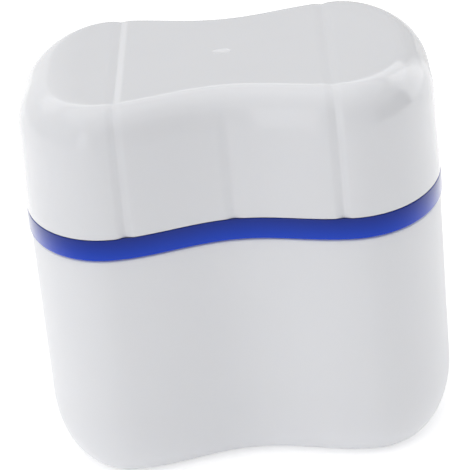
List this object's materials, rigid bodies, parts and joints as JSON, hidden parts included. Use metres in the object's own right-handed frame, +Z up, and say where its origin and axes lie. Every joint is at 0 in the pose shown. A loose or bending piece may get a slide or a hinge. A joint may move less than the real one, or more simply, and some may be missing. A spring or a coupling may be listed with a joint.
{
  "type": "denture case",
  "caption": "Lobed denture case: deep cup, perforated rinse basket hanging by its coloured rim, fold-down handle, seal ring and grooved lift-off lid.",
  "frame": {"origin": "middle of the flat underside of the cup", "axes": "+Z up, -Y towards the front as in the picture, +X to the right seen from the front"},
  "size_m": [0.086, 0.076, 0.0783],
  "materials": {
    "cup_white": "satin white moulded plastic",
    "basket_blue": "semi-gloss dark blue moulded plastic",
    "handle_blue": "semi-gloss dark blue moulded plastic",
    "seal_silicone": "soft pale silicone",
    "lid_white": "high-gloss white moulded plastic"
  },
  "bodies": {
    "cup": {"base_cup": "cup_white"},
    "basket": {"rinse_basket": "basket_blue", "lid_seal": "seal_silicone"},
    "handle": {"basket_handle": "handle_blue"},
    "lid": {"lid": "lid_white"}
  },
  "joints": [
    {"name": "basket_lift", "type": "slide", "parent": "cup", "child": "basket", "axis": [0, 0, 1], "range_m": [0, 0.05]},
    {"name": "lid_lift", "type": "slide", "parent": "basket", "child": "lid", "axis": [0, 0, 1], "range_m": [0, 0.03]},
    {"name": "handle_pivot", "type": "hinge", "parent": "basket", "child": "handle", "pos_m": [0, 0, 0.0472], "axis": [1, 0, 0], "range_deg": [0, 180]}
  ]
}
